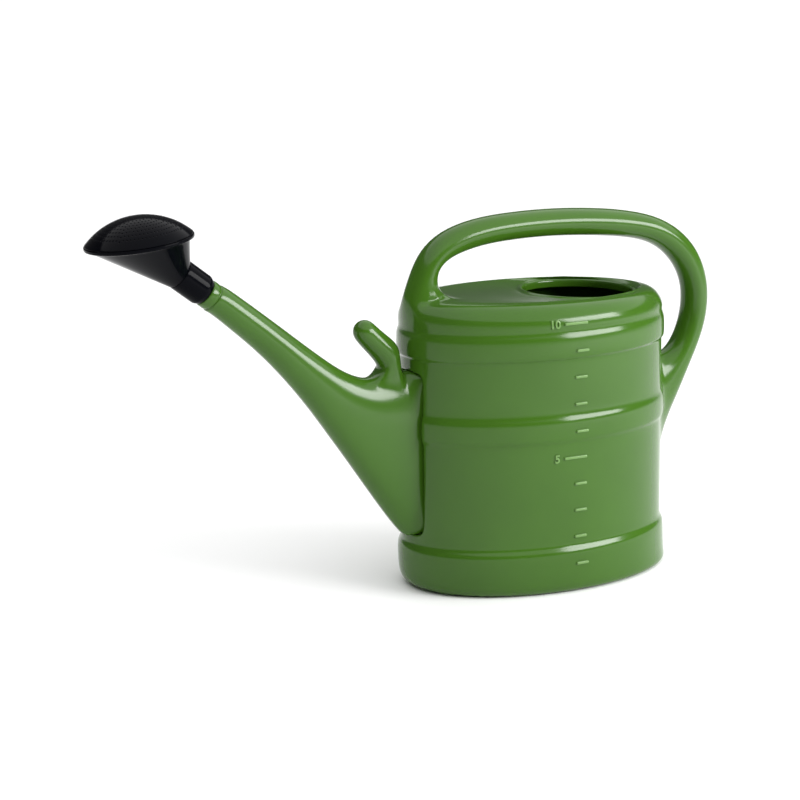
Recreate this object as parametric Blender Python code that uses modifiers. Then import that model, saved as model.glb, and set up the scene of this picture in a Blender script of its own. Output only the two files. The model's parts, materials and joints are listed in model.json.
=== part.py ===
"""A ten litre garden watering can: an oval blow-moulded tank with a long top handle, a
spout, a peg that stores the rose, and a push-on rose with a domed face plate.

+X runs toward the back of the handle, -X toward the rose, +Z is up. The XZ plane is the
plane of symmetry, and the origin is the middle of the foot pad, on the ground.
"""

import math

import bmesh
import bpy
from mathutils import Matrix, Vector

MM = 0.001
GAP = 0.3 * MM

# The oval tank: half length and half width of the plain wall, and how far the bands stand out.
TANK_HALF_LENGTH = 136.7 * MM
TANK_HALF_WIDTH = 90.3 * MM
BAND_RISE = 2.8 * MM
SHOULDER_RISE = 1 * MM
WALL = 2 * MM
OVAL = TANK_HALF_WIDTH / TANK_HALF_LENGTH
STEPS = 48

# Heights of the tank, from the ground up.
MOAT_HEIGHT = 3 * MM
BASE_TOP = 46 * MM
MID_BAND = (146 * MM, 170 * MM)
SHOULDER_BAND = (224 * MM, 250 * MM)
SHOULDER_HEIGHT = 258 * MM
DECK_HEIGHT = 272 * MM
BAND_SLOPE = 4 * MM

# The filler hole in the rear half of the deck, with its rolled rim.
FILLER_X = 51 * MM
FILLER_RADIUS = 52 * MM
RIM_BEAD = 2.2 * MM

# The handle's middle line in the XZ plane, front to back, with its radius.
HANDLE_LINE = (
    (-121, 236, 13), (-126, 262, 19), (-122, 288, 16), (-112, 312, 13.5), (-90, 329, 13),
    (-50, 338, 13), (0, 339.5, 13), (60, 336, 13), (110, 328, 13), (152, 312, 13.5),
    (178, 287, 13.5), (188.5, 257, 13.5), (186, 230, 14), (176, 203, 14.5), (159, 174, 14),
    (142, 143, 12), (128, 112, 10),
)
HANDLE_WIDENING = 1.15

# The spout's sections from its tip to its root: middle x and z, half height, half width,
# and how many degrees its axis rises there. The spout's tube ends, and its flared root
# starts, at the section whose index is SPOUT_SPLIT.
SPOUT_SECTIONS = (
    (-331.9, 299.3, 13.4, 13.4, 38), (-305, 278.5, 14.0, 13.8, 39), (-275, 253.5, 15.1, 14.6, 42),
    (-245, 225, 18.5, 15.6, 43), (-215, 196, 25, 16.8, 40), (-185, 173, 36, 18, 30),
    (-168, 157, 53, 19, 16), (-150, 144, 68, 19.5, 6), (-120, 131, 82, 19.5, 0),
)
SPOUT_SIDES = 20
SPOUT_WALL = 1.8 * MM
SPOUT_SPLIT = 5

# The tip of the spout: a stop ring, and the spigot that the rose pushes onto.
TIP = Vector((-338.5, 0, 304.5)) * MM
TIP_RISE = math.radians(38)
TIP_AXIS = Vector((-math.cos(TIP_RISE), 0, math.sin(TIP_RISE)))
RING_LENGTH = 8 * MM
RING_RADIUS = 12.9 * MM
SPIGOT_LENGTH = 22 * MM
SPIGOT_RADIUS = 11.4 * MM
SPIGOT_BORE = 9.6 * MM
ROUND_STEPS = 32

# The peg between the spout and the tank.
PEG_FOOT = Vector((-139, 0, 204)) * MM
PEG_TIP = Vector((-188, 0, 261)) * MM
PEG_RADIUS = 11 * MM
PEG_CLEARANCE = 0.8 * MM

# The rose: a neck sleeve, a funnel shaped head with a rim, and a face that is part of a sphere.
NECK_LENGTH = 30 * MM
NECK_RADIUS = 14.4 * MM
NECK_BORE = 11.8 * MM
NECK_TAPER = 4.4 * MM
ROSE_CENTRE = Vector((-399, 0, 356.2)) * MM
ROSE_TILT = math.radians(6.8)
ROSE_NORMAL = Vector((-math.sin(ROSE_TILT), 0, math.cos(ROSE_TILT)))
ROSE_RADIUS = 48.3 * MM
ROSE_WALL = 1.6 * MM
RIM_HEIGHT = 3.2 * MM
RIM_STEP = 4.6 * MM
RIM_SLOPE = 1 * MM
FACE_SPHERE = 66.3 * MM
FACE_WALL = 1.6 * MM
SKIRT_DEPTH = 1.5 * MM

GREEN = (0.105, 0.285, 0.055, 1)
BLACK = (0.012, 0.012, 0.016, 1)


def clear_scene():
    for old in list(bpy.data.objects):
        bpy.data.objects.remove(old, do_unlink=True)


def collection(name):
    made = bpy.data.collections.new(name)
    bpy.context.scene.collection.children.link(made)
    return made


def plastic(name, colour, roughness):
    material = bpy.data.materials.new(name)
    material.use_nodes = True
    shader = material.node_tree.nodes["Principled BSDF"]
    shader.inputs["Base Color"].default_value = colour
    shader.inputs["Roughness"].default_value = roughness
    shader.inputs["Metallic"].default_value = 0
    return material


def object_from(bm, name, group):
    mesh = bpy.data.meshes.new(name)
    bm.to_mesh(mesh)
    bm.free()
    made = bpy.data.objects.new(name, mesh)
    group.objects.link(made)
    return made


def smooth(part, degrees=35):
    part.data.shade_smooth()
    part.data.set_sharp_from_angle(angle=math.radians(degrees))


def finish(part, material):
    part.data.materials.clear()
    part.data.materials.append(material)
    smooth(part)
    return part


def baked(source, name, group):
    """The evaluated shape of an object as a mesh object in its place, with its doubles merged."""
    bpy.context.view_layer.update()
    graph = bpy.context.evaluated_depsgraph_get()
    mesh = bpy.data.meshes.new_from_object(source.evaluated_get(graph))
    mesh.transform(source.matrix_world)
    bpy.data.objects.remove(source, do_unlink=True)
    bm = bmesh.new()
    bm.from_mesh(mesh)
    bpy.data.meshes.remove(mesh)
    bmesh.ops.remove_doubles(bm, verts=bm.verts, dist=0.00001)
    return object_from(bm, name, group)


def turned(name, profile, steps, group, oval=1.0):
    """A profile of (radius, height) turned about Z and narrowed along Y."""
    bm = bmesh.new()
    points = [bm.verts.new((radius, 0, height)) for radius, height in profile]
    for first, second in zip(points, points[1:]):
        bm.edges.new((first, second))
    line = object_from(bm, name + "_profile", group)
    screw = line.modifiers.new("Turn", "SCREW")
    screw.axis = "Z"
    screw.steps = steps
    screw.render_steps = steps
    screw.use_merge_vertices = True
    screw.merge_threshold = 0.00001
    made = baked(line, name, group)
    made.data.transform(Matrix.Diagonal((1, oval, 1, 1)))
    return made


def shell(part, thickness):
    """Gives an open surface a wall on its inner side."""
    wall = part.modifiers.new("Wall", "SOLIDIFY")
    wall.thickness = thickness
    wall.offset = -1
    wall.use_even_offset = True
    return part


def guide(part):
    part.hide_render = True
    part.display_type = "WIRE"
    return part


def boolean(part, other, operation):
    step = part.modifiers.new(operation.title(), "BOOLEAN")
    step.object = other
    step.operation = operation


def arc(centre, radius, start, end, count):
    """Points of a round stretch in a (radius, height) profile, with angles in degrees."""
    points = []
    for index in range(count + 1):
        angle = math.radians(start + (end - start) * index / count)
        points.append((centre[0] + radius * math.cos(angle), centre[1] + radius * math.sin(angle)))
    return points


def deck_profile():
    shoulder = TANK_HALF_LENGTH + SHOULDER_RISE
    straight = 1.5 * MM
    radius = DECK_HEIGHT - SHOULDER_HEIGHT - straight
    roll = arc((shoulder - radius, SHOULDER_HEIGHT + straight), radius, 90, 0, 4)
    crown = (shoulder - 3 * radius, DECK_HEIGHT)
    return [(0, DECK_HEIGHT), crown, *roll, (shoulder, SHOULDER_HEIGHT)]


def wall_profile():
    plain = TANK_HALF_LENGTH
    band = plain + BAND_RISE
    profile = [(plain + SHOULDER_RISE, SHOULDER_HEIGHT), (plain + SHOULDER_RISE, SHOULDER_BAND[1])]
    for low, high in (SHOULDER_BAND, MID_BAND):
        profile += [
            (band, high - BAND_SLOPE),
            (band, low + BAND_SLOPE),
            (plain, low),
        ]
        if low > MID_BAND[1]:
            profile.append((plain, MID_BAND[1]))
    profile.append((plain, BASE_TOP))
    return profile


def base_profile():
    plain = TANK_HALF_LENGTH
    band = plain + BAND_RISE
    corner = 10 * MM
    foot_inner = plain - 20 * MM
    pad = plain - 70 * MM
    return [
        (plain, BASE_TOP),
        (band, BASE_TOP - BAND_SLOPE),
        *arc((band - corner, corner), corner, 0, -90, 4),
        (foot_inner, 0),
        (foot_inner - MOAT_HEIGHT, MOAT_HEIGHT),
        (pad + MOAT_HEIGHT, MOAT_HEIGHT),
        (pad, 0),
        (0, 0),
    ]


def lowered(profile, amount):
    """The profile with its first point, the joint with the piece above, moved down."""
    return [(profile[0][0], profile[0][1] - amount), *profile[1:]]


def make_envelope(cutters):
    """The outside of the whole tank grown by the gap, which trims what is moulded onto it."""
    profile = deck_profile()[:-1] + wall_profile()[:-1] + base_profile()
    grown = []
    for radius, height in profile:
        lift = GAP * (1 if height > DECK_HEIGHT / 2 else -1) if height in (0, DECK_HEIGHT) else 0
        grown.append((radius + GAP / OVAL if radius > 0 else 0, height + lift))
    return guide(turned("tank_envelope", grown, STEPS, cutters, OVAL))


def spout_frames(sections):
    for x, z, half_height, half_width, rise in sections:
        angle = math.radians(rise)
        long_side = Vector((math.sin(angle), 0, math.cos(angle)))
        yield Vector((x, 0, z)) * MM, long_side, half_height * MM, half_width * MM


def loft(name, rings, group, closed):
    """Joins rings of points one after the other, and caps both ends if the body is closed."""
    bm = bmesh.new()
    loops = [[bm.verts.new(point) for point in ring] for ring in rings]
    for first, second in zip(loops, loops[1:]):
        for index, corner in enumerate(first):
            after = (index + 1) % len(first)
            bm.faces.new((corner, first[after], second[after], second[index]))
    if closed:
        bm.faces.new(loops[0])
        bm.faces.new(loops[-1])
    bmesh.ops.recalc_face_normals(bm, faces=bm.faces)
    return object_from(bm, name, group)


def spout_loft(name, sections, growth, group, closed):
    rings = []
    for middle, long_side, half_height, half_width in spout_frames(sections):
        ring = []
        for index in range(SPOUT_SIDES):
            turn = 2 * math.pi * index / SPOUT_SIDES
            up = long_side * math.cos(turn) * (half_height + growth)
            across = Vector((0, math.sin(turn) * (half_width + growth), 0))
            ring.append(middle + up + across)
        rings.append(ring)
    return loft(name, rings, group, closed)


def axis_matrix(origin, axis):
    return Matrix.Translation(origin) @ axis.to_track_quat("Z", "Y").to_matrix().to_4x4()


def make_tank(parts, cutters, green):
    wall = turned("tank_wall", lowered(wall_profile(), GAP), STEPS, parts, OVAL)
    shell(wall, WALL)
    passage = guide(spout_loft("passage", SPOUT_SECTIONS, -SPOUT_WALL - GAP, cutters, True))
    boolean(wall, passage, "DIFFERENCE")
    finish(wall, green)

    base = turned("tank_base", lowered(base_profile(), GAP), STEPS, parts, OVAL)
    finish(shell(base, WALL), green)

    deck = shell(turned("tank_deck", deck_profile(), STEPS, parts, OVAL), WALL)
    bead = arc((FILLER_RADIUS + RIM_BEAD, 0), RIM_BEAD, 180, -180, 8)
    rim = guide(turned("filler_rim", bead, STEPS, cutters))
    rim.location = (FILLER_X, 0, DECK_HEIGHT)
    hole = bmesh.new()
    radius = FILLER_RADIUS + RIM_BEAD
    bmesh.ops.create_cone(
        hole, cap_ends=True, segments=STEPS, radius1=radius, radius2=radius, depth=20 * MM
    )
    hole = guide(object_from(hole, "filler_hole", cutters))
    hole.location = rim.location
    boolean(deck, hole, "DIFFERENCE")
    boolean(deck, rim, "UNION")
    finish(deck, green)


def make_handle(parts, envelope, green):
    curve = bpy.data.curves.new("handle_line", "CURVE")
    curve.dimensions = "3D"
    curve.resolution_u = 3
    curve.bevel_depth = 1 * MM
    curve.bevel_resolution = 3
    curve.use_fill_caps = True
    line = curve.splines.new("BEZIER")
    line.bezier_points.add(len(HANDLE_LINE) - 1)
    for point, (x, z, radius) in zip(line.bezier_points, HANDLE_LINE):
        point.co = (x * MM, 0, z * MM)
        point.radius = radius
        point.handle_left_type = "AUTO"
        point.handle_right_type = "AUTO"
    tube = bpy.data.objects.new("handle_line", curve)
    parts.objects.link(tube)
    handle = baked(tube, "handle", parts)
    handle.data.transform(Matrix.Diagonal((1, HANDLE_WIDENING, 1, 1)))
    boolean(handle, envelope, "DIFFERENCE")
    finish(handle, green)


def make_spout(parts, cutters, envelope, green):
    tube_sections = SPOUT_SECTIONS[: SPOUT_SPLIT + 1]
    finish(shell(spout_loft("spout_tube", tube_sections, 0, parts, False), SPOUT_WALL), green)

    root_sections = SPOUT_SECTIONS[SPOUT_SPLIT:]
    root = shell(spout_loft("spout_root", root_sections, 0, parts, False), SPOUT_WALL)
    rise = math.radians(root_sections[0][-1])
    root.location = Vector((math.cos(rise), 0, -math.sin(rise))) * GAP
    boolean(root, envelope, "DIFFERENCE")
    finish(root, green)

    profile = [
        (SPIGOT_BORE, SPIGOT_LENGTH),
        (SPIGOT_RADIUS - 0.8 * MM, SPIGOT_LENGTH),
        (SPIGOT_RADIUS, SPIGOT_LENGTH - 1.5 * MM),
        (SPIGOT_RADIUS, 0),
        (RING_RADIUS - 0.8 * MM, 0),
        (RING_RADIUS, -0.8 * MM),
        (RING_RADIUS, -RING_LENGTH),
        (SPIGOT_BORE, -RING_LENGTH),
        (SPIGOT_BORE, SPIGOT_LENGTH),
    ]
    tip = turned("spout_tip", profile, ROUND_STEPS, parts)
    tip.matrix_world = axis_matrix(TIP, TIP_AXIS)
    finish(tip, green)

    bm = bmesh.new()
    length = (PEG_TIP - PEG_FOOT).length
    bmesh.ops.create_cone(
        bm, cap_ends=True, segments=20, radius1=PEG_RADIUS, radius2=PEG_RADIUS, depth=length
    )
    far_edges = [edge for edge in bm.edges if all(vert.co.z > 0 for vert in edge.verts)]
    bmesh.ops.bevel(
        bm, geom=far_edges, offset=PEG_RADIUS * 0.8, segments=4, profile=0.5,
        affect="EDGES", material=-1,
    )
    peg = object_from(bm, "rose_peg", parts)
    peg.matrix_world = axis_matrix((PEG_FOOT + PEG_TIP) / 2, (PEG_TIP - PEG_FOOT).normalized())
    boolean(peg, envelope, "DIFFERENCE")
    outside = guide(spout_loft("outside", SPOUT_SECTIONS, PEG_CLEARANCE, cutters, True))
    boolean(peg, outside, "DIFFERENCE")
    finish(peg, green)


def rose_ring(middle, normal, radius):
    long_side = Vector((0, 1, 0)).cross(normal)
    ring = []
    for index in range(ROUND_STEPS):
        turn = 2 * math.pi * index / ROUND_STEPS
        ring.append(
            middle + long_side * math.cos(turn) * radius
            + Vector((0, math.sin(turn) * radius, 0))
        )
    return ring


def make_rose(parts, black):
    profile = [
        (NECK_BORE, NECK_LENGTH),
        (NECK_RADIUS, NECK_LENGTH),
        (NECK_RADIUS, GAP + NECK_TAPER),
        (NECK_RADIUS - NECK_TAPER / 2, GAP),
        (NECK_BORE, GAP),
        (NECK_BORE, NECK_LENGTH),
    ]
    neck = turned("rose_neck", profile, ROUND_STEPS, parts)
    neck.matrix_world = axis_matrix(TIP, TIP_AXIS)
    finish(neck, black)

    throat = TIP + TIP_AXIS * (NECK_LENGTH + GAP)
    brim = ROSE_CENTRE - ROSE_NORMAL * (RIM_HEIGHT + RIM_SLOPE)
    rings = [rose_ring(throat, TIP_AXIS, NECK_RADIUS)]
    for share in (0.25, 0.5, 0.75, 1):
        middle = throat.lerp(brim, share)
        normal = TIP_AXIS.lerp(ROSE_NORMAL, share).normalized()
        radius = NECK_RADIUS + (ROSE_RADIUS - RIM_STEP - NECK_RADIUS) * share
        rings.append(rose_ring(middle, normal, radius))
    rings.append(rose_ring(ROSE_CENTRE - ROSE_NORMAL * RIM_HEIGHT, ROSE_NORMAL, ROSE_RADIUS))
    rings.append(rose_ring(ROSE_CENTRE, ROSE_NORMAL, ROSE_RADIUS))
    for ring in rings:
        for point in ring:
            point -= TIP
    head = shell(loft("rose_head", rings, parts, False), ROSE_WALL)
    head.location = TIP
    finish(head, black)

    depth = math.sqrt(FACE_SPHERE ** 2 - ROSE_RADIUS ** 2)
    edge = math.degrees(math.asin(depth / FACE_SPHERE))
    skirt = ROSE_RADIUS - ROSE_WALL - 0.4 * MM
    inner = FACE_SPHERE - FACE_WALL
    inner_edge = math.degrees(math.acos((skirt - FACE_WALL) / inner))
    profile = [
        *arc((0, GAP - depth), FACE_SPHERE, 90, edge, 6),
        (skirt, GAP),
        (skirt, -SKIRT_DEPTH),
        (skirt - FACE_WALL, -SKIRT_DEPTH),
        *arc((0, GAP - depth), inner, inner_edge, 90, 6),
    ]
    face = turned("rose_face", profile, ROUND_STEPS, parts)
    face.matrix_world = axis_matrix(ROSE_CENTRE, ROSE_NORMAL)
    finish(face, black)


def main():
    clear_scene()
    parts = collection("watering_can")
    cutters = collection("cutters")
    green = plastic("green_plastic", GREEN, 0.3)
    black = plastic("black_plastic", BLACK, 0.25)
    envelope = make_envelope(cutters)
    make_tank(parts, cutters, green)
    make_handle(parts, envelope, green)
    make_spout(parts, cutters, envelope, green)
    make_rose(parts, black)


main()
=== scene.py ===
import json
import math

import bmesh
import bpy
from mathutils import Matrix, Quaternion, Vector


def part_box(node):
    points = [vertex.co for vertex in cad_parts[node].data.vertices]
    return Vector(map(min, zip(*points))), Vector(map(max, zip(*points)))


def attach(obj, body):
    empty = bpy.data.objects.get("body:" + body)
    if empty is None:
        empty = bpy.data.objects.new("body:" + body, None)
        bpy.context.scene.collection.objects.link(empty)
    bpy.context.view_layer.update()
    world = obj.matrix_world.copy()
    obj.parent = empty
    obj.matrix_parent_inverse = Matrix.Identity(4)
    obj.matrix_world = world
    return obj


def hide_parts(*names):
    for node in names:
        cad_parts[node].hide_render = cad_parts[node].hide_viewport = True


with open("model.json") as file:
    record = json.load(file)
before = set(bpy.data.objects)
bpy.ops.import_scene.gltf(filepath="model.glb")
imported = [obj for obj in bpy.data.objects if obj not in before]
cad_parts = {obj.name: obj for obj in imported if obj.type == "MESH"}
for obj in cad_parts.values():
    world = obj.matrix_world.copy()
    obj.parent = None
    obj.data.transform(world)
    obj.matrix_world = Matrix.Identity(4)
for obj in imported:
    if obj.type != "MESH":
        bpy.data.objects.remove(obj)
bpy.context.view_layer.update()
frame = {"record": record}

MM = 0.001
Y_AXIS = Vector((0, 1, 0))

# The tank: half length and half width of its plain wall, the filler hole, and the deck's
# height over the middle of the foot and its fall toward the back.
WALL_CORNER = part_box("tank_wall")[1]
BAND = 2.6 * MM
LENGTH = WALL_CORNER[0] - BAND
WIDTH = WALL_CORNER[1] - BAND
FILLER_X = 51 * MM
FILLER_RADIUS = 52 * MM
FILLER_WIDENING = 1.05
DECK = 271.6 * MM
DECK_FALL = 0.02
MOULD_WALL = 1.8 * MM

# The rose's axes, from the joints.
JOINTS = {joint["name"]: joint for joint in frame["record"]["behaviour"]["joints"]}
TIP = Vector(JOINTS["rose_turn"]["pos_m"])
TIP_AXIS = Vector(JOINTS["rose_turn"]["axis"])
FACE_AXIS = Vector(JOINTS["face_unclip"]["axis"])
NECK_LENGTH = 30 * MM
ROSE_CENTRE = Vector((-399, 0, 356.2)) * MM
ROSE_RADIUS = 48.3 * MM
FACE_SPHERE = 66.3 * MM

# Points round the tank, and the one at its front.
COLUMNS = 28
FRONT = COLUMNS // 2


# ---------------------------------------------------------------- meshes

def piece(name, bm, material, levels=0, wall=0.0):
    """A finished object from a bmesh: subdivided, then given a wall on its inner side."""
    mesh = bpy.data.meshes.new(name)
    bm.to_mesh(mesh)
    bm.free()
    made = bpy.data.objects.new(name, mesh)
    bpy.context.scene.collection.objects.link(made)
    mesh.materials.append(material)
    mesh.shade_smooth()
    if levels:
        soft = made.modifiers.new("Soft", "SUBSURF")
        soft.levels = levels
        soft.render_levels = levels
    if wall:
        shell = made.modifiers.new("Wall", "SOLIDIFY")
        shell.thickness = wall
        shell.offset = -1
        shell.use_even_offset = False
    return made


def first_ring(bm, places, closed=False):
    """The ring of vertices that a skin grows from, with a face across it if it is closed."""
    made = bmesh.ops.create_circle(bm, cap_ends=closed, segments=len(places), radius=1)
    for vert, place in zip(made["verts"], places):
        vert.co = place
    return made["verts"]


def grow(bm, ring, places):
    """Extrudes a closed ring of vertices and moves the new ring to its places, in the same order."""
    edges = [bm.edges.get(pair) for pair in zip(ring, ring[1:] + ring[:1])]
    made = bmesh.ops.extrude_edge_only(bm, edges=edges)["geom"]
    fresh = {item for item in made if isinstance(item, bmesh.types.BMVert)}
    grown = []
    for old, place in zip(ring, places):
        others = [edge.other_vert(old) for edge in old.link_edges]
        vert = next(other for other in others if other in fresh)
        vert.co = place
        grown.append(vert)
    return grown


def swell(count):
    """How much larger a cage of that many points is than the smooth ring it makes."""
    return 6 / (4 + 2 * math.cos(2 * math.pi / count))


def oval(half_length, half_width, z, x=0.0):
    grown = swell(COLUMNS)
    return [
        Vector((
            x + half_length * grown * math.cos(2 * math.pi * index / COLUMNS),
            half_width * grown * math.sin(2 * math.pi * index / COLUMNS),
            z,
        ))
        for index in range(COLUMNS)
    ]


def even_shares(count):
    return [math.cos(2 * math.pi * index / count) for index in range(count)]


def section(first, last, half_width, shares, flatness=2.0):
    """A ring across a tube: from the point first on the XZ plane round to last and back.
    shares says how far along that line each point of the ring lies, from 1 to -1."""
    count = len(shares)
    middle = (first + last) / 2
    reach = (first - last) / 2 * swell(count)
    ring = []
    for index, share in enumerate(shares):
        side = max(0.0, 1 - abs(share) ** flatness) ** (1 / flatness)
        sign = 1 if index < count / 2 else -1
        ring.append(middle + reach * share + Y_AXIS * (sign * side * half_width * swell(count)))
    return ring


def in_plane(x, z):
    return Vector((x, 0, z)) * MM


def around(centre, axis, radius, count):
    """A round ring whose first point is on the upper or back side of the axis."""
    back = Y_AXIS.cross(axis).normalized()
    grown = radius * swell(count)
    return [
        centre + back * (grown * math.cos(2 * math.pi * index / count))
        + Y_AXIS * (grown * math.sin(2 * math.pi * index / count))
        for index in range(count)
    ]


def round_tip(along, radius, count):
    """A round ring about the spout tip's axis, with its place and radius in millimetres."""
    return around(TIP + TIP_AXIS * (along * MM), TIP_AXIS, radius * MM, count)


# ---------------------------------------------------------------- the moulded can

# How far inside the plain wall each ring of the foot lies, and its height, from the flat pad
# out over the moat and the standing ring to the base band.
FOOT_RINGS = (
    (106, 0), (72, 0), (69, 0.3), (66, 2.7), (63, 3), (30, 3), (27, 2.7), (24.5, 0.3),
    (22, 0), (7, 0), (1.4, 0.9), (-2.2, 4.4), (-3.4, 10.5), (-3.6, 30), (-3.4, 38.5),
    (-2.6, 42), (-0.6, 45.3), (-0.1, 48),
)
# From this inset inward the foot's ovals grow narrower more slowly than they grow shorter.
PAD_INSET = 10
PAD_NARROWING = 0.68
# How far back the underside sits, and how much less with each millimetre of height.
FOOT_SET_BACK = 6
FOOT_LEAN = 0.5


def foot_rings():
    rings = []
    for inset, z in FOOT_RINGS:
        narrowing = 1 if inset < PAD_INSET else PAD_NARROWING
        half_length = LENGTH - inset * MM
        half_width = WIDTH - inset * MM * narrowing
        set_back = max(0, FOOT_SET_BACK - z * FOOT_LEAN) * MM
        rings.append(oval(half_length, half_width, z * MM, set_back))
    return rings


# Height and outward step of each ring of the side wall, in millimetres.
WALL_RINGS = (
    (54, 0), (76, 0), (100, 0), (124, 0), (140, 0),
    (145.3, 0.4), (147.8, 2.1), (151, 2.6), (163, 2.6), (167.3, 2.2), (170.8, 0.5),
    (176, 0), (188, 0), (199.5, 0), (212, 0),
    (221.5, 0), (224.2, 0.2), (225.4, 1.9), (228, 2.7), (240, 2.6), (245, 2.2), (248.4, 0.8),
    (251, 0.3), (254.5, 0.6), (258.5, 0.4), (263, -0.9), (267.8, -3.8), (271.6, -8),
    (274, -13), (275, -20),
)
# The wall's rings above this height fall toward the back with the deck.
FALL_FROM = 255
# How far each deck ring has moved from the shoulder's oval to the filler's circle, and its rise.
DECK_RINGS = (
    (0.035, 0.2), (0.07, 0.3), (0.105, 0.3), (0.14, 0.3), (0.175, 0.2),
    (0.33, 0), (0.6, -0.8), (0.84, -1.8), (0.95, -2.3),
)
# Radius and height of the filler's rolled rim, over the hole's radius and the deck.
BEAD_RINGS = ((5.4, 0), (4.3, 1), (2.6, 1.9), (0.8, 1.5), (0.1, 0), (0, -2.5), (0.4, -6))
# First and last ring of the gaps that the spout, the handle's fin and its front leg grow from.
SPOUT_ROWS = (0, 14)
FIN_ROWS = (2, 13)
LEG_ROWS = (23, 34)


def gap_ring(grid, rows, column, side):
    """The vertices around a gap two faces wide, from the top middle down one side and up the other."""
    low, high = rows
    near = (column + side) % COLUMNS
    far = (column - side) % COLUMNS
    down = [grid[row][near] for row in range(high, low - 1, -1)]
    up = [grid[row][far] for row in range(low, high + 1)]
    return [grid[high][column], *down, grid[low][column], *up]


def open_gap(bm, grid, rows, column, side):
    """Takes out the faces of a gap, and returns the ring of vertices around it."""
    ring = gap_ring(grid, rows, column, side)
    doomed = []
    for row in range(*rows):
        for start in (column - 1, column):
            corners = (
                grid[row][start % COLUMNS], grid[row][(start + 1) % COLUMNS],
                grid[row + 1][(start + 1) % COLUMNS], grid[row + 1][start % COLUMNS],
            )
            doomed.append(bm.faces.get(corners))
    bmesh.ops.delete(bm, geom=doomed, context="FACES")
    return ring


def fallen(places):
    """Tips the top of the tank a little, so that the deck falls toward the back."""
    return [place - Vector((0, 0, place.x * DECK_FALL)) for place in places]


def make_tank(bm):
    rings = foot_rings()
    ring = first_ring(bm, rings[0], closed=True)
    for places in rings[1:]:
        ring = grow(bm, ring, places)
    grid = []
    for height, step in WALL_RINGS:
        places = oval(LENGTH + step * MM, WIDTH + step * MM, height * MM)
        if height > FALL_FROM:
            places = fallen(places)
        ring = grow(bm, ring, places)
        grid.append(ring)
    edge = WALL_RINGS[-1][1] * MM
    shoulder = oval(LENGTH + edge, WIDTH + edge, 0)
    rim = FILLER_RADIUS + BEAD_RINGS[0][0] * MM
    mouth = oval(rim, rim * FILLER_WIDENING, 0, FILLER_X)
    top = WALL_RINGS[-1][0]
    for share, rise in DECK_RINGS:
        places = [a.lerp(b, share) for a, b in zip(shoulder, mouth)]
        places = [place + Vector((0, 0, (top + rise) * MM)) for place in places]
        ring = grow(bm, ring, fallen(places))
        grid.append(ring)
    for outward, rise in BEAD_RINGS:
        radius = FILLER_RADIUS + outward * MM
        places = oval(radius, radius * FILLER_WIDENING, DECK + rise * MM, FILLER_X)
        ring = grow(bm, ring, fallen(places))
    return grid


# The handle's sections: outer point, inner point and half width.
HANDLE_SECTIONS = (
    ((-139.8, 276), (-100.6, 282.8), 17.6), ((-137.3, 284), (-104.8, 288.4), 16),
    ((-134.4, 291.5), (-106, 295), 15.3), ((-129.3, 304), (-104.8, 303), 15),
    ((-119.5, 322.5), (-100, 308.8), 15), ((-99, 339.3), (-88.5, 315.7), 15),
    ((-64.5, 348.8), (-59, 323.1), 15), ((-25, 351.4), (-24, 325.4), 15), ((15, 351.8), (15, 325.8), 15),
    ((55, 349.8), (54, 323.4), 15), ((99, 345.2), (95, 319.4), 15), ((140.3, 336.3), (128, 313.2), 15),
    ((168.5, 321), (149.5, 302), 15), ((188, 301.3), (164.5, 287), 15), ((198.8, 279), (173.5, 272), 15),
    ((203, 256), (177.5, 257), 15), ((201, 232), (177, 238), 15), ((194, 210), (171, 219), 15),
    ((184, 189), (162, 205), 15), ((171, 162), (151, 198.5), 15.5), ((155, 131), (142, 197.5), 17),
)


def make_handle(bm, leg, fin):
    shares = even_shares(len(leg))
    ring = leg
    for outer, inner, half_width in HANDLE_SECTIONS:
        places = section(in_plane(*inner), in_plane(*outer), half_width * MM, shares)
        ring = grow(bm, ring, places)
    ring = grow(bm, ring, [vert.co.copy() for vert in fin])
    bmesh.ops.weld_verts(bm, targetmap=dict(zip(ring, fin)))


# The spout's sections from its root: top point, bottom point, half width and flatness of its sides.
SPOUT_SECTIONS = (
    ((-141, 212.5), (-141, 51), 17.5, 2.8), ((-147, 211), (-151, 62.5), 18.3, 2.8),
    ((-155, 209.4), (-163, 78.5), 18.6, 2.8), ((-164, 208.4), (-177, 98.5), 18.6, 2.7),
    ((-176, 208.3), (-190, 117.5), 18.4, 2.6), ((-190, 211.5), (-204, 138), 18, 2.5),
    ((-206, 219.5), (-219, 159), 17.5, 2.3), ((-222, 231), (-236, 183.5), 17, 2.2),
    ((-240, 245), (-256, 209), 16, 2), ((-258, 259.5), (-276, 232), 15.3, 2),
    ((-278, 275.5), (-296, 252), 14.6, 2), ((-299, 292), (-316.5, 270), 14, 2),
    ((-316.5, 305.5), (-333, 284.5), 13.5, 2),
)
# How much wider than its columns the spout's gap is, and how far its sides then move back.
ROOT_WIDENING = 1.14
ROOT_SET_BACK = 0.045
# Width, height and depth of the rings of the groove round the spout's root.
GROOVE_RINGS = ((0.95, 0.994, 1.2), (0.9, 0.986, 6.5), (0.82, 0.98, 7.5), (0.785, 0.98, 4))
# The section from which the points are spread evenly, no longer in the wall's rows.
EVEN_FROM = 7
# Place along the tip's axis and radius of the rings at the spout's end.
TIP_RINGS = (
    (-10, 13.4), (-9.1, 13.2), (-8.7, 12.4), (-7.9, 12.4), (-7.4, 13), (-1.2, 13), (-0.3, 12.7),
    (0, 12), (0, 10.9), (0.8, 10.6), (21, 10.6), (22, 10.1),
)
# The peg's opening: its first spout section, how many it spans, and its half width in points.
PEG_START = 1
PEG_STATIONS = 4
PEG_HALF = 2
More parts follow.
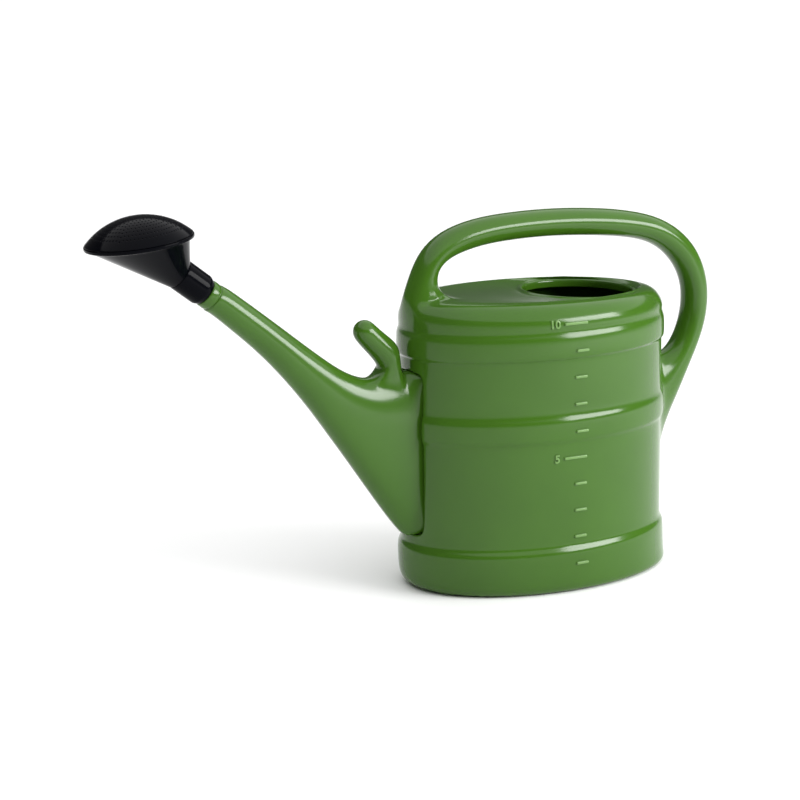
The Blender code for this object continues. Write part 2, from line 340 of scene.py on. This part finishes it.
# Centre and radius of the peg's sections.
PEG_SECTIONS = (
    ((-156, 224), 13), ((-158.5, 229.5), 13), ((-162.6, 234.8), 12.8), ((-170.6, 242.4), 12),
    ((-179.2, 251), 11.3),
    ((-182.4, 254.8), 10.8), ((-185.3, 258.2), 8.9), ((-187.2, 260.4), 5.4), ((-187.8, 261.2), 2.2),
)


def root_shares(gap):
    """Where the spout's root ring lies along its height, following the wall's rows."""
    count = len(gap)
    low = gap[count // 2].co.z
    high = gap[0].co.z
    shares = []
    for index, (vert, even) in enumerate(zip(gap, even_shares(count))):
        row = (2 * vert.co.z - high - low) / (high - low)
        corner = min(index % (count // 2), -index % (count // 2)) < 2
        shares.append(even if corner else row)
    return shares


def make_spout(bm, gap):
    middle = sum((vert.co for vert in gap), Vector()) / len(gap)
    for vert in gap:
        x, y, z = vert.co
        vert.co = Vector((x + abs(y) * ROOT_SET_BACK, y * ROOT_WIDENING, z))
    ring = gap
    for narrow, shorten, inward in GROOVE_RINGS:
        places = [
            Vector((
                vert.co.x + inward * MM,
                vert.co.y * narrow,
                middle.z + (vert.co.z - middle.z) * shorten,
            ))
            for vert in gap
        ]
        ring = grow(bm, ring, places)
    even = even_shares(len(gap))
    rows = root_shares(gap)
    grid = []
    for index, (top, bottom, half_width, flatness) in enumerate(SPOUT_SECTIONS):
        blend = min(1, index / EVEN_FROM)
        shares = [row + (spread - row) * blend for row, spread in zip(rows, even)]
        places = section(in_plane(*top), in_plane(*bottom), half_width * MM, shares, flatness)
        ring = grow(bm, ring, places)
        grid.append(ring)
    for along, radius in TIP_RINGS:
        ring = grow(bm, ring, round_tip(along, radius, len(gap)))
    return grid


def make_peg(bm, grid):
    """Opens the top of the spout's root and grows the peg out of it."""
    stations = grid[PEG_START : PEG_START + PEG_STATIONS]
    doomed = []
    for first, second in zip(stations, stations[1:]):
        for index in range(-PEG_HALF, PEG_HALF):
            corners = first[index], first[index + 1], second[index + 1], second[index]
            doomed.append(bm.faces.get(corners))
    bmesh.ops.delete(bm, geom=doomed, context="FACES")
    near, *inner, far = stations
    ring = [far[index] for index in range(PEG_HALF + 1)]
    ring += [stop[PEG_HALF] for stop in reversed(inner)]
    ring += [near[index] for index in range(PEG_HALF, -PEG_HALF - 1, -1)]
    ring += [stop[-PEG_HALF] for stop in inner]
    ring += [far[index] for index in range(-PEG_HALF, 0)]
    start, end = in_plane(*PEG_SECTIONS[0][0]), in_plane(*PEG_SECTIONS[-1][0])
    axis = (end - start).normalized()
    for centre, radius in PEG_SECTIONS:
        places = around(in_plane(*centre), -axis, radius * MM, len(ring))
        ring = grow(bm, ring, places)
    bmesh.ops.contextual_create(bm, geom=ring)


def make_can(material):
    bm = bmesh.new()
    grid = make_tank(bm)
    leg = open_gap(bm, grid, LEG_ROWS, FRONT, -1)
    fin = open_gap(bm, grid, FIN_ROWS, 0, 1)
    gap = open_gap(bm, grid, SPOUT_ROWS, FRONT, -1)
    make_handle(bm, leg, fin)
    make_peg(bm, make_spout(bm, gap))
    bmesh.ops.recalc_face_normals(bm, faces=bm.faces)
    can = piece("moulded_can", bm, material, levels=2, wall=MOULD_WALL)
    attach(can, "can")
    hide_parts("tank_wall", "tank_base", "tank_deck", "handle",
                "spout_root", "spout_tube", "spout_tip", "rose_peg")


# ---------------------------------------------------------------- the litre scale

# The lowest mark's height and the step to the next one. The marks end at X = MARK_END.
FIRST_LITRE = 29 * MM
LITRE_STEP = 25.4 * MM
MARK_END = 4 * MM
LONG_MARK = 24.5 * MM
SHORT_MARK = 13 * MM
MARK_HEIGHT = 2.7 * MM
MARK_PROUD = 1.6 * MM
MARK_SUNK = 0.8 * MM
MARK_CORNER = 0.9 * MM
MARK_EDGE = 0.8 * MM
DIGIT_SIZE = 10.5 * MM
DIGIT_SPACE = 4.5 * MM
DIGIT_PROUD = 1.1 * MM
DIGIT_WEIGHT = 0.12 * MM
DIGIT_EDGE = 0.2 * MM


# The foot's rings above this height belong to the base band.
BAND_FROM = 10


def wall_step(height):
    """How far the wall stands out from the plain oval at a height."""
    rows = [(z, -inset) for inset, z in FOOT_RINGS if z > BAND_FROM] + list(WALL_RINGS)
    for (low, inner), (high, outer) in zip(rows, rows[1:]):
        share = (height / MM - low) / (high - low)
        if 0 <= share <= 1:
            return (inner + (outer - inner) * share) * MM
    return 0.0


def onto_wall(bm, height):
    """Bends a flat shape, drawn in X and Z and proud along -Y, onto the tank's near side."""
    for vert in bm.verts:
        z = vert.co.z + height
        step = wall_step(z)
        side = (WIDTH + step) * math.sqrt(1 - (vert.co.x / (LENGTH + step)) ** 2)
        vert.co = Vector((vert.co.x, vert.co.y - side, z))


def add_mark(bm, start, end, height):
    """A raised bar with soft edges and round ends."""
    bar = bmesh.new()
    bmesh.ops.create_cube(bar, size=1)
    size = Vector((end - start, MARK_PROUD + MARK_SUNK, MARK_HEIGHT))
    middle = Vector(((start + end) / 2, (MARK_SUNK - MARK_PROUD) / 2, 0))
    bmesh.ops.scale(bar, vec=size, verts=bar.verts)
    bmesh.ops.translate(bar, vec=middle, verts=bar.verts)
    deep = [edge for edge in bar.edges if abs(edge.verts[0].co.y - edge.verts[1].co.y) > 1e-6]
    bmesh.ops.bevel(
        bar, geom=deep, offset=MARK_CORNER, segments=3, profile=0.5, affect="EDGES", material=-1,
    )
    front = [edge for edge in bar.edges if all(vert.co.y < 0 for vert in edge.verts)]
    bmesh.ops.bevel(
        bar, geom=front, offset=MARK_EDGE, segments=3, profile=0.5, affect="EDGES", material=-1,
    )
    onto_wall(bar, height)
    join(bm, bar)


def join(bm, other):
    """Adds another bmesh to this one."""
    mesh = bpy.data.meshes.new("joined")
    other.to_mesh(mesh)
    other.free()
    bm.from_mesh(mesh)
    bpy.data.meshes.remove(mesh)


def add_digits(bm, text, right, height):
    """Plain raised digits whose right side is at X = right."""
    curve = bpy.data.curves.new("digits", "FONT")
    curve.body = text
    curve.size = DIGIT_SIZE
    curve.align_x = "RIGHT"
    curve.align_y = "CENTER"
    curve.resolution_u = 4
    curve.offset = DIGIT_WEIGHT
    curve.extrude = (DIGIT_PROUD + MARK_SUNK) / 2
    curve.bevel_depth = DIGIT_EDGE
    maker = bpy.data.objects.new("digits", curve)
    bpy.context.scene.collection.objects.link(maker)
    graph = bpy.context.evaluated_depsgraph_get()
    mesh = bpy.data.meshes.new_from_object(maker.evaluated_get(graph))
    bpy.data.objects.remove(maker)
    bpy.data.curves.remove(curve)
    shape = bmesh.new()
    shape.from_mesh(mesh)
    bpy.data.meshes.remove(mesh)
    bmesh.ops.remove_doubles(shape, verts=shape.verts, dist=0.002 * MM)
    stand = Matrix.Rotation(math.radians(90), 4, "X")
    place = Matrix.Translation((right, (MARK_SUNK - DIGIT_PROUD) / 2, 0))
    bmesh.ops.transform(shape, matrix=place @ stand, verts=shape.verts)
    onto_wall(shape, height)
    join(bm, shape)


def make_scale(material):
    bm = bmesh.new()
    for litre in range(1, 11):
        height = FIRST_LITRE + (litre - 1) * LITRE_STEP
        fifth = litre % 5 == 0
        start = MARK_END - (LONG_MARK if fifth else SHORT_MARK)
        add_mark(bm, start, MARK_END, height)
        if fifth:
            add_digits(bm, str(litre), start - DIGIT_SPACE, height)
    bmesh.ops.recalc_face_normals(bm, faces=bm.faces)
    scale = piece("litre_scale", bm, material)
    scale.data.set_sharp_from_angle(angle=math.radians(40))
    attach(scale, "can")


# ---------------------------------------------------------------- the rose

ROSE_SIDES = 32
NECK_RADIUS = 14.4 * MM
NECK_GAP = 0.3 * MM
HOUSING_WALL = 1.5 * MM
# Place along the spigot's axis and radius of the sleeve's rings, from its mouth up the outside
# and back down the bore.
NECK_RINGS = (
    (0.5, 11.8), (0.3, 11.9), (0.3, 12.3), (0.7, 12.6), (3.9, 14), (4.9, 14.3), (8, 14.35),
    (27, 14.4), (29.5, 14.4), (29.95, 14.2), (30, 13.4), (29.9, 12), (29, 11.8), (14, 11.8),
    (2, 11.8),
)
# How far from the neck to the brim the funnel's rings lie.
FUNNEL_SHARES = (0.015, 0.06, 0.25, 0.5, 0.75, 0.94)
# Depth under the rim's top and radius of the rings from the funnel's brim out and up round the rim.
RIM_RINGS = (
    (4.2, 43.7), (4, 44.1), (3.8, 44.9), (3.3, 47.2), (2.9, 48.1), (2.2, 48.3), (0.9, 48.3),
    (0.3, 48.15), (0, 47.6), (0, 47),
)


def make_neck(material):
    """The sleeve, with a chamfered mouth, turned as a closed ring about the spigot's axis."""
    bm = bmesh.new()
    first = first_ring(bm, round_tip(*NECK_RINGS[0], ROSE_SIDES))
    ring = first
    for along, radius in NECK_RINGS[1:]:
        ring = grow(bm, ring, round_tip(along, radius, ROSE_SIDES))
    seam = [
        bm.edges.get(pair)
        for loop in (ring, first)
        for pair in zip(loop, loop[1:] + loop[:1])
    ]
    bmesh.ops.bridge_loops(bm, edges=seam)
    bmesh.ops.recalc_face_normals(bm, faces=bm.faces)
    neck = piece("neck_sleeve", bm, material, levels=2)
    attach(neck, "rose_sleeve")
    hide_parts("rose_neck")


def rim_ring(depth, radius):
    return around(ROSE_CENTRE - FACE_AXIS * (depth * MM), FACE_AXIS, radius * MM, ROSE_SIDES)


def make_housing(material):
    bm = bmesh.new()
    throat = around(TIP + TIP_AXIS * (NECK_LENGTH + NECK_GAP), TIP_AXIS, NECK_RADIUS, ROSE_SIDES)
    brim = rim_ring(*RIM_RINGS[0])
    ring = first_ring(bm, throat)
    for share in FUNNEL_SHARES:
        ring = grow(bm, ring, [low.lerp(high, share) for low, high in zip(throat, brim)])
    for depth, radius in RIM_RINGS:
        ring = grow(bm, ring, rim_ring(depth, radius))
    bmesh.ops.recalc_face_normals(bm, faces=bm.faces)
    housing = piece("rose_housing", bm, material, levels=2, wall=HOUSING_WALL)
    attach(housing, "rose_body")
    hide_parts("rose_head")


# The plate's cells across, the radius of its dome's edge, and how many cells in from the edge
# the holes begin.
FACE_CELLS = 22
FACE_EDGE = 45.6 * MM
CLEAR_CELLS = 1.2
HOLE_RADIUS = 0.75 * MM
HOLE_MARGIN = 0.6 * MM
PLATE_WALL = 1.2 * MM
# Radius and height, over the rim, of the plate's edge from the dome down into the housing.
PLATE_RINGS = ((46.7, 1.6), (47.5, 0.9), (47.6, 0.4), (46.6, 0.3), (46.2, -0.2), (46.2, -1.2))


def on_disc(x, y):
    """Bends a square's points onto a disc, so that square rings become round ones."""
    reach = max(abs(x), abs(y))
    if reach == 0:
        return Vector((0, 0, 0))
    if abs(x) >= abs(y):
        angle = math.pi / 4 * y / x + (math.pi if x < 0 else 0)
    else:
        angle = math.pi / 2 - math.pi / 4 * x / y + (math.pi if y < 0 else 0)
    return Vector((reach * math.cos(angle), reach * math.sin(angle), 0))


def pierce(bm, cells):
    """Opens a small round hole in the middle of each cell."""
    bmesh.ops.inset_individual(bm, faces=cells, thickness=HOLE_MARGIN)
    for cell in cells:
        middle = cell.calc_center_median()
        for vert in cell.verts:
            vert.co = middle + (vert.co - middle).normalized() * HOLE_RADIUS
    bmesh.ops.delete(bm, geom=cells, context="FACES_ONLY")


def make_face(material):
    bm = bmesh.new()
    bmesh.ops.create_grid(bm, x_segments=FACE_CELLS, y_segments=FACE_CELLS, size=1)
    step = 2 / FACE_CELLS
    middles = {cell: cell.calc_center_median() for cell in bm.faces}
    reach = 1 - CLEAR_CELLS * step
    cells = [cell for cell, at in middles.items() if max(abs(at.x), abs(at.y)) < reach]
    rim = [edge for edge in bm.edges if edge.is_boundary]
    depth = math.sqrt(FACE_SPHERE ** 2 - ROSE_RADIUS ** 2)
    for vert in bm.verts:
        flat = on_disc(vert.co.x, vert.co.y) * FACE_EDGE
        rise = math.sqrt(FACE_SPHERE ** 2 - flat.length_squared) - depth
        vert.co = flat + Vector((0, 0, rise))
    pierce(bm, cells)
    for radius, height in PLATE_RINGS:
        made = bmesh.ops.extrude_edge_only(bm, edges=rim)["geom"]
        verts = [item for item in made if isinstance(item, bmesh.types.BMVert)]
        fresh = set(verts)
        rim = [edge for edge in bm.edges if edge.verts[0] in fresh and edge.verts[1] in fresh]
        for vert in verts:
            flat = Vector((vert.co.x, vert.co.y, 0)).normalized() * (radius * MM)
            vert.co = flat + Vector((0, 0, height * MM))
    turn = FACE_AXIS.to_track_quat("Z", "Y").to_matrix().to_4x4()
    place = Matrix.Translation(ROSE_CENTRE) @ turn
    bmesh.ops.transform(bm, matrix=place, verts=bm.verts)
    bmesh.ops.recalc_face_normals(bm, faces=bm.faces)
    face = piece("rose_plate", bm, material, levels=1, wall=PLATE_WALL)
    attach(face, "rose_plate")
    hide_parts("rose_face")


# ---------------------------------------------------------------- materials

GREEN = (0.04, 0.112, 0.008)
# Painted highlight: the litre marks are the can's own plastic, lightened to stand in for light catching
# their upward faces.
MARK_PAINTED_HIGHLIGHT_GREEN = (0.12, 0.235, 0.06)
BLACK = (0.0015, 0.0017, 0.003)


def moulded_plastic(name, colour, roughness, shine):
    """A plastic skin with faint clouds in its colour and gloss, and a fine grain."""
    material = bpy.data.materials.new(name)
    material.use_nodes = True
    nodes, links = material.node_tree.nodes, material.node_tree.links
    shader = nodes["Principled BSDF"]
    shader.inputs["Specular IOR Level"].default_value = shine
    place = nodes.new("ShaderNodeTexCoord")
    cloud = nodes.new("ShaderNodeTexNoise")
    cloud.inputs["Scale"].default_value = 14
    cloud.inputs["Detail"].default_value = 4
    links.new(place.outputs["Object"], cloud.inputs["Vector"])
    tint = nodes.new("ShaderNodeValToRGB")
    tint.color_ramp.elements[0].position = 0.3
    tint.color_ramp.elements[1].position = 0.7
    tint.color_ramp.elements[0].color = (*[part * 0.94 for part in colour], 1)
    tint.color_ramp.elements[1].color = (*[part * 1.05 for part in colour], 1)
    links.new(cloud.outputs["Fac"], tint.inputs["Fac"])
    links.new(tint.outputs["Color"], shader.inputs["Base Color"])
    gloss = nodes.new("ShaderNodeMapRange")
    gloss.inputs["To Min"].default_value = roughness * 0.85
    gloss.inputs["To Max"].default_value = roughness * 1.2
    links.new(cloud.outputs["Fac"], gloss.inputs["Value"])
    links.new(gloss.outputs["Result"], shader.inputs["Roughness"])
    grain = nodes.new("ShaderNodeTexNoise")
    grain.inputs["Scale"].default_value = 700
    grain.inputs["Detail"].default_value = 3
    links.new(place.outputs["Object"], grain.inputs["Vector"])
    bump = nodes.new("ShaderNodeBump")
    bump.inputs["Strength"].default_value = 0.05
    bump.inputs["Distance"].default_value = 0.0005
    links.new(grain.outputs["Fac"], bump.inputs["Height"])
    links.new(bump.outputs["Normal"], shader.inputs["Normal"])
    return material


# ---------------------------------------------------------------- the studio

FLOOR_REACH = 30
FLOOR_WHITE = (0.93, 0.93, 0.93, 1)
# The background's strength at the horizon, its strength above, and where the two meet.
HORIZON_GLOW = 0.7
SKY_GLOW = 0.11
HORIZON_TOP = 0.08


def add_light(name, kind, power, direction):
    light = bpy.data.objects.new(name, bpy.data.lights.new(name, kind))
    light.data.energy = power
    bpy.context.scene.collection.objects.link(light)
    light.rotation_euler = Vector(direction).to_track_quat("-Z", "Y").to_euler()
    return light


def add_floor():
    bm = bmesh.new()
    bmesh.ops.create_grid(bm, x_segments=1, y_segments=1, size=FLOOR_REACH)
    paint = bpy.data.materials.new("pale_floor")
    paint.use_nodes = True
    shader = paint.node_tree.nodes["Principled BSDF"]
    shader.inputs["Base Color"].default_value = FLOOR_WHITE
    shader.inputs["Roughness"].default_value = 0.9
    piece("floor", bm, paint)


def add_background():
    """A white background, brighter near the horizon than above."""
    world = bpy.data.worlds.new("studio")
    bpy.context.scene.world = world
    world.use_nodes = True
    nodes, links = world.node_tree.nodes, world.node_tree.links
    nodes["Background"].inputs["Color"].default_value = (1, 1, 1, 1)
    direction = nodes.new("ShaderNodeTexCoord")
    height = nodes.new("ShaderNodeSeparateXYZ")
    glow = nodes.new("ShaderNodeMapRange")
    glow.inputs["From Min"].default_value = 0
    glow.inputs["From Max"].default_value = HORIZON_TOP
    glow.inputs["To Min"].default_value = HORIZON_GLOW
    glow.inputs["To Max"].default_value = SKY_GLOW
    links.new(direction.outputs["Generated"], height.inputs["Vector"])
    links.new(height.outputs["Z"], glow.inputs["Value"])
    links.new(glow.outputs["Result"], nodes["Background"].inputs["Strength"])


def add_lights():
    """A wide soft light from above, and a low panel in front, on the side away from the spout."""
    overhead = add_light("overhead", "SUN", 3.4, (-0.15, 0.1, -1))
    overhead.data.angle = math.radians(120)
    place, target = Vector((1.55, -1.83, 1.05)), Vector((0, 0, 0.15))
    key = add_light("key", "AREA", 64, target - place)
    key.location = place
    key.data.shape = "RECTANGLE"
    key.data.size, key.data.size_y = 1.6, 0.8


def add_camera():
    """Stands at the can's near side, toward the spout and a little above it."""
    azimuth, rise, distance = math.radians(-32.05), math.radians(12.27), 2.1537
    target = Vector((0, 0, 0.178))
    back = Vector((
        math.sin(azimuth) * math.cos(rise), -math.cos(azimuth) * math.cos(rise), math.sin(rise),
    ))
    camera = bpy.data.objects.new("camera", bpy.data.cameras.new("camera"))
    bpy.context.scene.collection.objects.link(camera)
    camera.data.lens = 100.57
    camera.location = target + back * distance
    aim = Vector((-0.1448, 0, 0.1846))
    turn = (aim - camera.location).to_track_quat("-Z", "Y")
    roll = Quaternion((0, 0, 1), math.radians(-0.757))
    camera.rotation_euler = (turn @ roll).to_euler()
    bpy.context.scene.camera = camera


def main():
    green = moulded_plastic("green_plastic_skin", GREEN, roughness=0.15, shine=0.32)
    black = moulded_plastic("black_plastic_skin", BLACK, roughness=0.1, shine=0.04)
    make_can(green)
    # The marks' lighter green is a painted highlight, not a different plastic.
    make_scale(moulded_plastic("raised_mark_painted_highlight_skin", MARK_PAINTED_HIGHLIGHT_GREEN, roughness=0.2, shine=0.4))
    make_neck(black)
    make_housing(black)
    make_face(black)
    add_floor()
    add_background()
    add_lights()
    add_camera()
    bpy.context.scene.view_settings.view_transform = "Standard"


main()
